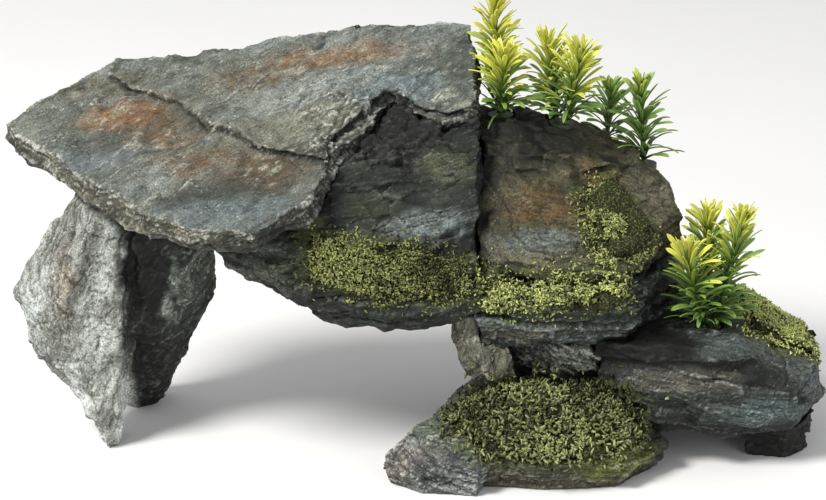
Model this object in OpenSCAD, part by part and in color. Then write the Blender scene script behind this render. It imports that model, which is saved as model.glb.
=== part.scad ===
// Cave ornament for an aquarium: resin slates and boulders, moss flock and push-in plants.
// Millimetres, +Z up. The origin is on the ground, in the middle of the ornament's box.
// Each rock is laid out from the joint plane, where the roof's side of the cave meets the
// shoulder's side: x = 0 there, -x towards the leg, -y towards the front.

/* [Roof slab] */
// Length of the roof slab, before its right end is cut at the joint plane
roof_length = 180; // [150:1:216]
// Depth of the roof slab along its slope
roof_depth = 103; // [86:1:124]
// Thickness of the roof slab
roof_thickness = 14; // [10:0.5:17]
// Thickness of the broken upper bed on the roof slab
sheet_thickness = 2.5; // [2:0.1:4]
// Rise of the roof slab from front to back, in degrees
roof_pitch = 26; // [21:1:31]
// Rise of the roof slab from left to right, in degrees
roof_roll = 6; // [3:1:8]
// Height of the roof slab's front corner
roof_front_height = 95; // [85:1:114]

/* [Left leg] */
// Width of the leg's front slab
leg_width = 46; // [38:1:55]
// Depth of the leg's front slab
leg_depth = 38; // [32:1:46]
// Width of the ridge behind the leg's front slab
ridge_width = 44; // [37:1:52]
// Depth of that ridge
ridge_depth = 52; // [43:1:62]

/* [Bridge block] */
// Length of the bridge block, from the joint plane to the cave
bridge_length = 97; // [81:1:112]
// Depth of the bridge block
bridge_depth = 80; // [67:1:96]
// Headroom of the cave: height of the bridge block's underside
headroom = 54; // [46:1:64]

/* [Shoulder] */
// Length of the shoulder boulder
shoulder_length = 76; // [63:1:91]
// Depth of the shoulder boulder
shoulder_depth = 92; // [77:1:104]
// Height of the shoulder boulder above its ledge
shoulder_height = 49; // [41:1:58]
// Length of the shoulder ledge
ledge_length = 80; // [67:1:96]
// Depth of the shoulder ledge
ledge_depth = 96; // [80:1:108]
// Thickness of the shoulder ledge
ledge_thickness = 24; // [20:1:29]

/* [Pillar and base] */
// Width of the pillar
pillar_width = 46; // [38:1:55]
// Depth of the pillar
pillar_depth = 66; // [55:1:79]
// Height of the pillar
pillar_height = 19; // [16:1:23]
// Length of the base rock
base_length = 88; // [74:1:103]
// Depth of the base rock
base_depth = 90; // [78:1:108]
// Height of the base rock
base_height = 28; // [24:1:33]
// Length of the toe rock in front of the base rock
toe_length = 44; // [37:1:53]
// Height of the toe rock
toe_height = 19; // [16:1:22]

/* [Right slab] */
// Length of the right slab
slab_length = 88; // [74:1:105]
// Depth of the right slab
slab_depth = 92; // [77:1:110]
// Thickness of the right slab
slab_thickness = 35; // [30:1:41]
// Width of the foot under the right slab
foot_width = 27; // [23:1:32]
// Depth of the foot under the right slab
foot_depth = 36; // [30:1:43]

/* [Joints between castings] */
// Radius of a locating spigot
spigot_r = 3; // [2.5:0.1:3.5]
// Length of a locating spigot
spigot_length = 5; // [4:0.5:6]
// Clearance round and past a spigot, which the glue fills
glue_gap = 0.2; // [0.1:0.05:0.4]

/* [Moss] */
// Thickness of the moss flock
moss_thickness = 2.5; // [2:0.1:3]

/* [Plants] */
// Radius of a plant's peg
peg_r = 2.95; // [2.5:0.05:3.4]
// Length of a plant's peg
peg_length = 9; // [7:0.5:11]
// Running clearance between a peg and its socket, at the radius
socket_gap = 0.05; // [0.03:0.01:0.1]
// Radius of the collar above a plant's peg
collar_r = 4.6; // [4.2:0.1:5.2]
// Height of the collar
collar_height = 2; // [1.5:0.1:3]
// Distance of each stem's foot from the middle of the collar, on a plant with several
stem_spread = 2.2; // [2:0.1:2.8]
// Radius of a plant's stem
stem_r = 0.9; // [0.7:0.05:1]
// Reach of a leaf from its stem
leaf_reach = 7.5; // [6.5:0.1:7.8]
// Reach of a leaf in the crown at a stem's tip
crown_reach = 4.9; // [4:0.1:6]
// Thickness of a leaf
leaf_thickness = 0.6; // [0.4:0.05:0.8]
// Distance between the whorls of leaves on a stem
whorl_pitch = 5.5; // [5:0.1:7]

/* [Hidden] */

// The outside of the ring that a whorl's leaves grow from, and its inside before the stem cuts it
ring_r = stem_r + 0.9;
hole_r = stem_r - 0.2;
// The share of a bed's thickness over which it slopes in or out to the next one, at each side
lip_share = 0.12;

// Far enough to cut right through any rock
far = 400;
// How far a raw casting runs past the joint plane before it is cut there
joint_trim = 7;
// The same for the roof slab
roof_trim = 7;
// How far the bridge block stays under the roof slab's top beside it
bridge_drop = 1.5;
// How far a rock that stands under another runs up into it before it is cut
bury = 4;

// How far above the rock a stem starts, inside the plug's collar
stem_start = 0.5;

// Rise of a leaf's tip above its ring, in a whorl and in a crown, and the turn between whorls
leaf_rise = 2.5;
crown_rise = 5;
whorl_turn = 26;

// The levels at which the castings on the right stand on each other
shelf_height = base_height + pillar_height;
ledge_top = shelf_height + ledge_thickness;
slab_bottom = shelf_height - slab_thickness;

// The front edge of each rock, and where each rock starts on x, from the joint plane
roof_front = -55;
roof_corner_share = 0.52;
roof_corner_x = roof_trim - (1 - roof_corner_share) * roof_length * cos(roof_roll);
leg_front = -28;
leg_x = -roof_length + 11;
ridge_front = -20;
ridge_x = leg_x + leg_width - 14;
bridge_front = -45;
bridge_x = -bridge_length;
shoulder_front = -41;
ledge_front = -46;
pillar_front = -38;
pillar_x = 8;
flake_x = -10;
flake_front = -40;
flake_size = [26, 16];
base_front = -64;
base_x = -19;
toe_front = -66;
toe_depth = 34;
toe_x = base_x - 15.5;
slab_front = -45;
slab_x = 42;
foot_x = slab_x + slab_length - foot_width - 5;
foot_front = -34;

// The ornament's reach each way from the joint plane, to set the origin in its middle
roof_tip_share = 0.68;
roof_tip_pull = sin(roof_roll) * sin(roof_pitch) * roof_tip_share * roof_depth;
reach_left = roof_length * cos(roof_roll) + roof_tip_pull - roof_trim;
reach_right = slab_x + slab_length;
reach_front = -toe_front;
reach_back = shoulder_depth + shoulder_front;

// Each plant: where its collar stands, then its stems as [lean right, lean back, whorls, first whorl]
plant_a = [[9, 9, ledge_top + 46], [[-3, 16, 7, 9], [1, -16, 4, 11]]];
plant_b = [[31, 6, ledge_top + 44], [[-8, 12, 5, 8], [9, -10, 5, 8]]];
plant_c = [[49, 25, ledge_top + 31], [[4, 6, 3, 9]]];
plant_d = [[62, 10, ledge_top + 27], [[-4, 6, 5, 8]]];
plant_e = [[85, -16, shelf_height - 3], [[-15, -14, 5, 14], [-1, 7, 7, 9], [11, -4, 7, 13]]];
PLANTS = [plant_a, plant_b, plant_c, plant_d, plant_e];

// ---- Rocks ----

function lerp(a, b, t) = a + (b - a) * t;

// The row [height, left, right, front, back] of a rock's outline at height t, as shares of its size
function row_at(rows, t, i = 0) =
    i >= len(rows) - 2 || t <= rows[i + 1][0]
    ? lerp(rows[i], rows[i + 1], (t - rows[i][0]) / (rows[i + 1][0] - rows[i][0]))
    : row_at(rows, t, i + 1);

// An outline with each side split in equal parts
function split(outline, parts) = [
    for (i = [0:len(outline) - 1]) for (j = [0:parts - 1])
        lerp(outline[i], outline[(i + 1) % len(outline)], j / parts)];

// One ring of a rock: the outline inside the row's box, pulled in by inset and roughened
function ring(size, outline, row, inset, wobble) = [
    for (i = [0:len(outline) - 1])
        let (
            point = [lerp(row[1], row[2], outline[i][0]) * size[0],
                     lerp(row[3], row[4], outline[i][1]) * size[1]],
            middle = [(row[1] + row[2]) / 2 * size[0], (row[3] + row[4]) / 2 * size[1]],
            out = point - middle,
            kept = 1 - (inset + wobble[i]) / max(norm(out), 1),
            place = middle + out * kept
        ) [place[0], place[1], row[0] * size[2]]];

// Rings stretched so that the rock fills its length and depth exactly
function fitted(points, size) =
    let (
        low = [for (j = [0:1]) min([for (p = points) p[j]])],
        high = [for (j = [0:1]) max([for (p = points) p[j]])]
    ) [for (p = points) [
        (p[0] - low[0]) / (high[0] - low[0]) * size[0],
        (p[1] - low[1]) / (high[1] - low[1]) * size[1],
        p[2]]];

// A rock in flat beds: each bed steps in or out by up to ledge, with a rough edge
module rock(size, outline, rows, beds, ledge, rough, seed) {
    edge = split(outline, 2);
    n = len(edge);
    weights = rands(0.6, 1.4, beds, seed);
    sums = [for (i = 0, s = 0; i <= beds; s = s + (i < beds ? weights[i] : 0), i = i + 1) s];
    insets = rands(0, ledge, beds, seed + 1);
    rings = [
        for (b = [0:beds - 1])
            let (
                wobble = rands(-rough, rough, n, seed + 2 + b),
                low = b == 0 ? 0 : sums[b] + lip_share * weights[b],
                high = b == beds - 1 ? sums[beds] : sums[b + 1] - lip_share * weights[b]
            )
            for (s = [low, high])
                ring(size, edge, row_at(rows, s / sums[beds]), insets[b], wobble)];
    m = len(rings);
    skin = fitted([for (r = rings) each r], size);
    bottom = [for (i = [0:n - 1]) skin[i]];
    top = [for (i = [0:n - 1]) skin[(m - 1) * n + i]];
    points = concat(skin, [middle(bottom), middle(top)]);
    sides = [
        for (r = [0:m - 2]) for (i = [0:n - 1])
            let (k = (i + 1) % n, a = r * n, b = (r + 1) * n)
            each [[a + i, b + i, b + k], [a + i, b + k, a + k]]];
    floor_faces = [for (i = [0:n - 1]) [m * n, i, (i + 1) % n]];
    top_faces = [for (i = [0:n - 1]) [m * n + 1, (m - 1) * n + (i + 1) % n, (m - 1) * n + i]];
    polyhedron(points, concat(sides, floor_faces, top_faces));
}

// The middle of a ring's box
function middle(points) = [
    for (j = [0:2]) (min([for (p = points) p[j]]) + max([for (p = points) p[j]])) / 2];

// Puts what is laid out from the joint plane into the part's own frame
module placed() {
    translate([(reach_left - reach_right) / 2, (reach_front - reach_back) / 2, 0]) children();
}

// Everything left of the joint plane, and everything right of it
module left_side() {
    translate([-far, -far / 2, -far / 2]) cube(far);
}

module right_side() {
    translate([0, -far / 2, -far / 2]) cube(far);
}

// ---- Locating spigots, cast on one rock and glued into the next ----

module spigot() {
    translate([0, 0, -1]) cylinder(r = spigot_r, h = spigot_length + 1, $fn = 48);
}

module spigot_hole() {
    translate([0, 0, -1]) cylinder(r = spigot_r + glue_gap, h = spigot_length + glue_gap + 1, $fn = 48);
}

module leg_joint() {
    roof_frame() translate([-0.34 * roof_length, 0.55 * roof_depth, -roof_thickness]) children();
}

module bridge_joint() {
    roof_frame() translate([0.1 * roof_length, 0.52 * roof_depth, -roof_thickness]) children();
}

module seam_joints() {
    for (at = [[0, -8, ledge_top + 0.3 * shoulder_height], [0, 14, ledge_top + 0.4 * shoulder_height]])
        translate(at) rotate([0, -90, 0]) children();
}

module ledge_joint() {
    translate([0.36 * ledge_length, 2, ledge_top]) children();
}

module pillar_joints() {
    translate([pillar_x + 0.4 * pillar_width, -8, shelf_height]) children();
    translate([slab_x + 0.18 * slab_length, 4, shelf_height]) children();
}

module base_joint() {
    translate([pillar_x + 0.4 * pillar_width, -8, base_height]) children();
}

module foot_joint() {
    translate([foot_x + foot_width / 2, foot_front + foot_depth / 2, slab_bottom]) children();
}

// ---- The castings ----

module roof_frame() {
    translate([roof_corner_x, roof_front, roof_front_height]) rotate([roof_pitch, -roof_roll, 0])
        children();
}

// Height of the roof slab's top over a place on the ground
function roof_height(x, y) =
    roof_front_height + tan(roof_roll) * (x - roof_corner_x)
    + tan(roof_pitch) / cos(roof_roll) * (y - roof_front);

roof_outline = [
    [0, roof_tip_share], [.14, .40], [.28, .17], [.41, .03], [roof_corner_share, 0], [.63, .12], [.71, .38],
    [.91, .43], [1, .50], [1, .94], [.64, 1], [.25, .94], [.09, .80]];
// The broken-out corner in the roof slab's front edge
notch_outline = [[.71, .36], [.81, .30], [.92, .42], [.81, .60]];
sheet_outline = [
    [.23, .83], [.36, .71], [.45, .53], [.54, .41], [.67, .28], [.69, .40], [.80, .63], [.91, .47],
    [1.05, .50], [1.05, .92], [.64, .98], [.25, .92]];

module roof_raw() {
    roof_frame() translate([-roof_corner_share * roof_length, 0, -roof_thickness]) difference() {
        rock([roof_length, roof_depth, roof_thickness], roof_outline,
             [[0, .03, .98, .04, .96], [.5, 0, 1, 0, 1], [1, .01, 1, .01, 1]], 4, 2, 1, 5);
        translate([0, 0, -1]) linear_extrude(roof_thickness + 2) on_roof(notch_outline);
    }
}

// An outline in shares of the roof slab's length and depth
module on_roof(outline) {
    polygon([for (p = outline) [p[0] * roof_length, p[1] * roof_depth]]);
}

// The broken upper bed of slate, which the roof casting includes
module roof_sheet() {
    roof_frame() translate([-roof_corner_share * roof_length, 0, -1])
        linear_extrude(sheet_thickness + 1) on_roof(sheet_outline);
}

// Everything above a level in the roof slab's own frame
module above_roof(level) {
    roof_frame() translate([-far / 2, -far / 2, level]) cube(far);
}

module roof_slab() {
    color("slategray") placed() difference() {
        union() {
            roof_raw();
            roof_sheet();
        }
        right_side();
        leg_joint() spigot_hole();
        bridge_joint() spigot_hole();
    }
}

module leg_front_raw() {
    translate([leg_x, leg_front, 0])
        rock([leg_width, leg_depth, roof_height(leg_x + leg_width, leg_front + leg_depth)],
             [[0, .25], [.45, 0], [.9, .1], [1, .5], [.85, 1], [.2, .85]],
             [[0, .66, .82, .12, .6], [.14, .42, .9, .06, .8], [.36, .02, .98, .02, .95], [.48, 0, 1, 0, 1],
              [.62, .2, 1, .08, 1], [.78, .5, 1, .28, 1], [1, .55, 1, .4, 1]], 7, 2, 1.2, 19);
}

module leg_ridge_raw() {
    translate([ridge_x, ridge_front, 0])
        rock([ridge_width, ridge_depth, roof_height(ridge_x + ridge_width, ridge_front + ridge_depth)],
             [[0, .4], [.3, 0], [.75, .05], [1, .3], [.9, .9], [.4, 1]],
             [[0, 0, .4, .7, 1], [.18, 0, .64, .4, 1], [.42, 0, 1, .1, 1], [.6, 0, 1, 0, .95],
              [1, .2, 1, .2, .8]], 7, 2.5, 1.2, 31);
}

module left_leg() {
    color("silver") placed() {
        difference() {
            union() {
                leg_front_raw();
                leg_ridge_raw();
            }
            above_roof(-roof_thickness);
            bridge_raw();
        }
        leg_joint() spigot();
    }
}

module bridge_raw() {
    height = roof_height(0, bridge_front + bridge_depth) - headroom;
    translate([bridge_x, bridge_front, headroom])
        rock([bridge_length + joint_trim, bridge_depth, height],
             [[0, .3], [.2, .08], [.55, 0], [1, .05], [1, .97], [.5, 1], [.1, .8]],
             [[0, .42, .8, .03, .5], [.07, .3, 1, 0, .75], [.14, .12, 1, 0, .9], [.26, 0, 1, .04, 1],
              [.4, 0, 1, .1, 1], [.7, .05, 1, .36, .95], [1, .1, 1, .6, .85]], 9, 2.5, 1.2, 9);
}

module bridge_block() {
    color("dimgray") placed() {
        difference() {
            bridge_raw();
            roof_raw();
            above_roof(-bridge_drop);
            right_side();
            seam_joints() spigot_hole();
        }
        bridge_joint() spigot();
    }
}

module shoulder_raw() {
    translate([-joint_trim, shoulder_front, ledge_top])
        rock([shoulder_length + joint_trim, shoulder_depth, shoulder_height],
             [[0, .1], [.3, 0], [.75, .08], [1, .35], [.95, .75], [.6, 1], [0, .95]],
             [[0, 0, .98, .03, 1], [.2, 0, 1, .06, .97], [.5, 0, .92, .22, .86], [.72, 0, .76, .32, .76],
              [1, 0, .42, .42, .66]], 8, 2, 1.2, 42);
}

module shoulder_boulder() {
    color("gray") placed() {
        difference() {
            shoulder_raw();
            left_side();
            ledge_joint() spigot_hole();
            sockets();
        }
        seam_joints() spigot();
    }
}

module ledge_raw() {
    translate([-joint_trim, ledge_front, shelf_height])
        rock([ledge_length + joint_trim, ledge_depth, ledge_thickness],
             [[0, .02], [.35, 0], [.7, .06], [.84, .3], [.98, .52], [1, .8], [.6, 1], [0, .95]],
             [[0, 0, .98, .06, .9], [.35, 0, 1, .01, 1], [.7, 0, .95, 0, 1], [1, 0, .9, .04, .98]],
             7, 2.5, 1.2, 57);
}

module shoulder_ledge() {
    color("darkslategray") placed() {
        difference() {
            ledge_raw();
            left_side();
            pillar_joints() spigot_hole();
        }
        ledge_joint() spigot();
    }
}

module pillar_raw() {
    translate([pillar_x, pillar_front, base_height])
        rock([pillar_width, pillar_depth, pillar_height],
             [[0, .2], [.4, 0], [.9, .08], [1, .7], [.7, 1], [.1, .9]],
             [[0, .12, .95, .1, 1], [.5, .04, 1, 0, 1], [1, 0, 1, .04, .95]], 4, 2, 1.2, 63);
}

module pillar_rock() {
    color("dimgray") placed() {
        difference() {
            pillar_raw();
            slab_raw();
            base_joint() spigot_hole();
        }
        translate([pillar_x + 0.4 * pillar_width, -8, shelf_height]) spigot();
    }
}

module flake_raw() {
    translate([flake_x, flake_front, base_height - bury])
        rock([flake_size[0], flake_size[1], headroom + 2 * bury - base_height],
             [[0, .2], [.5, 0], [1, .3], [.9, 1], [.2, .9]],
             [[0, .5, 1, .2, .9], [.4, .14, .9, 0, 1], [.75, 0, .68, 0, 1], [1, 0, .62, .1, .9]],
             4, 1.5, 0.8, 71);
}

module pillar_flake() {
    color("rosybrown") placed() difference() {
        flake_raw();
        pillar_raw();
        base_raw();
        difference() {
            ledge_raw();
            left_side();
        }
        difference() {
            bridge_raw();
            right_side();
        }
    }
}

module base_raw() {
    translate([base_x, base_front, 0])
        rock([base_length, base_depth, base_height],
             [[0, .22], [.16, .05], [.45, 0], [.82, .04], [1, .22], [.97, .85], [.6, 1], [.36, .9], [.3, .55],
              [.06, .4]],
             [[0, .1, .96, .03, 1], [.25, .04, 1, 0, 1], [.55, 0, .97, .04, 1],
              [.85, .1, .9, .14, .97], [1, .2, .85, .24, .95]], 7, 2, 1.2, 84);
}

module base_rock() {
    color("darkolivegreen") placed() {
        base_raw();
        base_joint() spigot();
    }
}

module toe_raw() {
    translate([toe_x, toe_front, 0])
        rock([toe_length, toe_depth, toe_height],
             [[0, .35], [.3, .05], [.8, 0], [1, .4], [.9, 1], [.3, .95]],
             [[0, .06, .96, .02, 1], [.4, 0, 1, 0, 1], [1, .2, .9, .2, .9]], 4, 2, 1, 97);
}

module toe_rock() {
    color("lightslategray") placed() difference() {
        toe_raw();
        base_raw();
    }
}

module slab_raw() {
    translate([slab_x, slab_front, slab_bottom])
        rock([slab_length, slab_depth, slab_thickness],
             [[0, .1], [.4, 0], [.85, .06], [1, .3], [.97, .62], [.8, 1], [.1, .95]],
             [[0, .22, .93, .04, .85], [.25, .08, 1, .01, .95], [.55, 0, .97, 0, 1], [.8, 0, .81, .02, .96],
              [1, 0, .64, .05, .9]], 7, 2, 1.2, 105);
}

module right_slab() {
    color("slategray") placed() {
        difference() {
            slab_raw();
            base_raw();
            foot_joint() spigot_hole();
            sockets();
        }
        translate([slab_x + 0.18 * slab_length, 4, shelf_height]) spigot();
    }
}

module right_foot() {
    color("darkslategray") placed() {
        difference() {
            translate([foot_x, foot_front, 0])
                rock([foot_width, foot_depth, slab_bottom + bury],
                     [[0, .1], [.6, 0], [1, .3], [.9, .9], [.2, 1]],
                     [[0, .05, .9, .05, 1], [1, 0, 1, 0, 1]], 3, 1.5, 0.8, 113);
            slab_raw();
        }
        foot_joint() spigot();
    }
}

// ---- Moss: a layer of flock on a rock's skin ----

// Children: the bare rock, then the region that the moss covers
module moss_layer(out) {
    difference() {
        intersection() {
            translate(out) children(0);
            children(1);
        }
        children(0);
    }
}

// Regions: one drawn on the ground plan, one below a level, and one drawn on the front
module plan_region(outline) {
    linear_extrude(far, center = true) polygon(outline);
}

module everything_below(level) {
    translate([-far / 2, -far / 2, level - far]) cube(far);
}

module front_region(outline, front, back) {
    translate([0, back, 0]) rotate([90, 0, 0]) linear_extrude(back - front) polygon(outline);
}

module moss_bridge() {
    color("olivedrab") placed() difference() {
        moss_layer([0, -moss_thickness, 0.5]) {
            bridge_raw();
            front_region([[-58, headroom + 20], [-30, headroom + 13], [-3, headroom + 15],
                          [-3, headroom + 24], [-35, headroom + 30], [-60, headroom + 34]],
                         bridge_front - 10, bridge_front + 20);
        }
        roof_raw();
    }
}

module moss_ledge() {
    color("olivedrab") placed() difference() {
        moss_layer([0, -0.6 * moss_thickness, moss_thickness]) {
            ledge_raw();
            front_region([[3, ledge_top - 8], [56, ledge_top - 8], [62, ledge_top + 6], [3, ledge_top + 6]],
                         ledge_front - 10, ledge_front + 14);
        }
        shoulder_raw();
    }
}

module moss_ridge() {
    color("olivedrab") placed() moss_layer([moss_thickness, -moss_thickness / 2, 0]) {
        shoulder_raw();
        front_region([[44, ledge_top + 8], [63, ledge_top + 8], [60, ledge_top + 16],
                      [48, ledge_top + 30], [38, ledge_top + 26]], -46, -2);
    }
}

module moss_base() {
    color("olive") placed() difference() {
        moss_layer([0, -0.6 * moss_thickness, moss_thickness]) {
            base_raw();
            plan_region([[-8, -60], [15, -66], [45, -62], [60, -48], [52, -26], [4, -30], [-12, -42]]);
        }
        pillar_raw();
        slab_raw();
        flake_raw();
        toe_raw();
        everything_below(base_height / 2);
    }
}

module moss_slope() {
    color("olivedrab") placed() difference() {
        moss_layer([moss_thickness, 0, moss_thickness]) {
            slab_raw();
            plan_region([[100, -22], [126, -16], [124, 20], [104, 40], [98, 10]]);
        }
        everything_below(slab_bottom + slab_thickness / 2);
    }
}

// ---- Plants ----

// The bores and the flat seats in the rocks, under every plant
module sockets() {
    for (plant = PLANTS) translate(plant[0]) {
        cylinder(r = collar_r + 1, h = far / 4, $fn = 64);
        translate([0, 0, -peg_length - 0.5])
            cylinder(r = peg_r + socket_gap, h = peg_length + 1, $fn = 64);
    }
}

// The pegged insert that a plant's stems grow from
module plug(plant) {
    translate(plant[0]) difference() {
        union() {
            cylinder(r = collar_r, h = collar_height, $fn = 64);
            translate([0, 0, -peg_length]) cylinder(r = peg_r, h = peg_length + 1, $fn = 64);
        }
        each_stem(plant) stem_rod($stem);
    }
}

// Children once for each of a plant's stems, in the stem's own frame: it leaves the collar on
// the side it leans to, or in the middle where it is the only one. Sets $stem.
module each_stem(plant) {
    for ($stem = plant[1]) {
        lean = [$stem[0], $stem[1]];
        foot = len(plant[1]) > 1 ? stem_spread * lean / norm(lean) : [0, 0];
        translate([foot[0], foot[1], stem_start]) rotate([-lean[1], lean[0], 0]) children();
    }
}

function stem_length(stem) = stem[3] + (stem[2] - 1) * whorl_pitch + 2;

module stem_rod(stem) {
    cylinder(r = stem_r, h = stem_length(stem), $fn = 48);
}

module stems(plant) {
    translate(plant[0]) each_stem(plant) stem_rod($stem);
}

// A whorl: narrow leaves that start at a ring round the stem and arch outwards
module whorl(leaves, reach, rise) {
    step = 360 / leaves;
    widths = [[0.4, 0.13, 0.6], [0.75, 0.10, 0.95]];
    function polar(r, a, z) = [r * cos(a), r * sin(a), z];
    function beside(share, a, side) =
        polar(share[0] * reach, a, share[2] * rise)
        + side * share[1] * reach * [-sin(a), cos(a), 0];
    outer = [for (i = [0:leaves - 1])
        let (a = i * step)
        each [polar(ring_r, a - step / 2, 0), beside(widths[0], a, -1), beside(widths[1], a, -1),
              polar(reach, a, rise), beside(widths[1], a, 1), beside(widths[0], a, 1)]];
    inner = [for (i = [0:leaves - 1]) polar(hole_r, (i - 0.5) * step, 0)];
    low = concat(outer, inner);
    n = len(low);
    k = len(outer);
    points = concat(low, [for (p = low) p + [0, 0, leaf_thickness]]);
    under = [for (i = [0:leaves - 1])
        let (a = 6 * i, next = 6 * ((i + 1) % leaves), b = k + i, c = k + (i + 1) % leaves)
        each [[b, a, a + 1], [b, a + 1, a + 5], [b, a + 5, c], [c, a + 5, next],
              [a + 1, a + 2, a + 4], [a + 1, a + 4, a + 5], [a + 2, a + 3, a + 4]]];
    rim = [for (i = [0:k - 1])
        let (next = (i + 1) % k)
        each [[i, i + n, next + n], [i, next + n, next]]];
    hole = [for (i = [0:leaves - 1])
        let (b = k + i, c = k + (i + 1) % leaves)
        each [[b, c, c + n], [b, c + n, b + n]]];
    polyhedron(points, concat(
        under, [for (f = under) [f[2] + n, f[1] + n, f[0] + n]], rim, hole));
}

module leaves(plant) {
    translate(plant[0]) difference() {
        each_stem(plant) for (i = [0:$stem[2] - 2])
            translate([0, 0, $stem[3] + i * whorl_pitch]) rotate([0, 0, i * whorl_turn])
                whorl(6, leaf_reach, leaf_rise);
        each_stem(plant) stem_rod($stem);
    }
}

// The youngest whorl at a stem's tip, which stands up more steeply
module crowns(plant) {
    translate(plant[0]) difference() {
        each_stem(plant) translate([0, 0, $stem[3] + ($stem[2] - 1) * whorl_pitch])
            whorl(5, crown_reach, crown_rise);
        each_stem(plant) stem_rod($stem);
    }
}

module plug_part(plant) {
    color("darkgreen") placed() plug(plant);
}

module stems_part(plant) {
    color("forestgreen") placed() stems(plant);
}

module leaves_part(plant) {
    color("yellowgreen") placed() leaves(plant);
}

module crowns_part(plant) {
    color("greenyellow") placed() crowns(plant);
}

roof_slab();
left_leg();
bridge_block();
shoulder_boulder();
shoulder_ledge();
pillar_rock();
pillar_flake();
base_rock();
toe_rock();
right_slab();
right_foot();
moss_bridge();
moss_ledge();
moss_ridge();
moss_base();
moss_slope();
plug_part(plant_a);  // plug_a
stems_part(plant_a);  // stems_a
leaves_part(plant_a);  // leaves_a
crowns_part(plant_a);  // crowns_a
plug_part(plant_b);  // plug_b
stems_part(plant_b);  // stems_b
leaves_part(plant_b);  // leaves_b
crowns_part(plant_b);  // crowns_b
plug_part(plant_c);  // plug_c
stems_part(plant_c);  // stems_c
leaves_part(plant_c);  // leaves_c
crowns_part(plant_c);  // crowns_c
plug_part(plant_d);  // plug_d
stems_part(plant_d);  // stems_d
leaves_part(plant_d);  // leaves_d
crowns_part(plant_d);  // crowns_d
plug_part(plant_e);  // plug_e
stems_part(plant_e);  // stems_e
leaves_part(plant_e);  // leaves_e
crowns_part(plant_e);  // crowns_e
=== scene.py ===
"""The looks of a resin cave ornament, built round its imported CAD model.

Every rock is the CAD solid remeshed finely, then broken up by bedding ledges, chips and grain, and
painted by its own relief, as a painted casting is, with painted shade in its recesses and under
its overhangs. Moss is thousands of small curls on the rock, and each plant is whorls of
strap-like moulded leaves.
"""
import math

import bpy
import numpy as np
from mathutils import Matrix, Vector
from mathutils.bvhtree import BVHTree
from mathutils.kdtree import KDTree


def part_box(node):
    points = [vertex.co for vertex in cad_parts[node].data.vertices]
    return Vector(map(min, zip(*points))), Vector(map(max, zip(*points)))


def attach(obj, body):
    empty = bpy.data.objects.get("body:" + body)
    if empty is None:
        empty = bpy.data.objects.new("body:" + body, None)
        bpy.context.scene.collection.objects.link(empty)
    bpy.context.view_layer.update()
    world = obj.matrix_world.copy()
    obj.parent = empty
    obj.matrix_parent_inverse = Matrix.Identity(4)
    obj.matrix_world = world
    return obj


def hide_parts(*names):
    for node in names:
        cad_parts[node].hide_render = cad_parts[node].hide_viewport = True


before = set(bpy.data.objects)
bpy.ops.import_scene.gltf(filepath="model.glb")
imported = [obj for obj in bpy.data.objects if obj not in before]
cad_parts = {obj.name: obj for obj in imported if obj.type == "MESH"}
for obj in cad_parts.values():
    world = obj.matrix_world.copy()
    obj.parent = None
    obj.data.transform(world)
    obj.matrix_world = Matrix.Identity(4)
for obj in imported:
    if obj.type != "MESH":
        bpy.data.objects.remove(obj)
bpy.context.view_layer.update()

MM = 0.001
ROCK_BODY = "rockwork"


# ---------------------------------------------------------------- numbers

def srgb(red, green, blue):
    """A colour given in 0..255 as linear light."""
    c = np.array([red, green, blue], float) / 255
    return np.where(c <= 0.04045, c / 12.92, ((c + 0.055) / 1.055) ** 2.4)


def smooth(low, high, x):
    """0 below low, 1 above high, and a soft step between. It falls where high is below low."""
    t = np.clip((x - low) / (high - low), 0, 1)
    return t * t * (3 - 2 * t)


def mix(a, b, share):
    """Colour rows a turned towards b by a share for each row."""
    share = np.asarray(share)[:, None]
    return a * (1 - share) + b * share


def unit(v):
    v = np.asarray(v, float)
    return v / np.linalg.norm(v)


def hashed(i, j, k, seed):
    """A fixed random number from -1 to 1 for each whole-number grid corner."""
    mask = 0xFFFFFFFF
    h = (i * 73856093) ^ (j * 19349663) ^ (k * 83492791) ^ (seed * 40503 + 12345)
    h = (((h & mask) ^ ((h & mask) >> 13)) * 0x5BD1E995) & mask
    h = ((h ^ (h >> 15)) * 0x2C1B3C6D) & mask
    h ^= h >> 12
    return (h & 0xFFFFFF) / 0x7FFFFF - 1.0


def noise(points, size, seed):
    """Smooth noise from -1 to 1 with features of about that size."""
    p = points / size + 31.7 * (seed % 7)
    cell = np.floor(p).astype(np.int64)
    f = p - cell
    f = f * f * f * (f * (f * 6 - 15) + 10)
    total = np.zeros(len(points))
    for dx in (0, 1):
        for dy in (0, 1):
            for dz in (0, 1):
                w = np.ones(len(points))
                for axis, d in enumerate((dx, dy, dz)):
                    w *= f[:, axis] if d else 1 - f[:, axis]
                total += w * hashed(cell[:, 0] + dx, cell[:, 1] + dy, cell[:, 2] + dz, seed)
    return total


TURN = np.array([[0.36, 0.48, -0.8], [-0.8, 0.6, 0], [0.48, 0.64, 0.6]])


def layered(points, size, seed, octaves=4, gain=0.5):
    """Noise of several sizes added up, each octave turned so that no grid shows."""
    total, strength, whole = np.zeros(len(points)), 1.0, 0.0
    for octave in range(octaves):
        total += strength * noise(points, size, seed + octave)
        whole += strength
        strength *= gain
        size /= 2
        points = points @ TURN
    return total / whole


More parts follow.
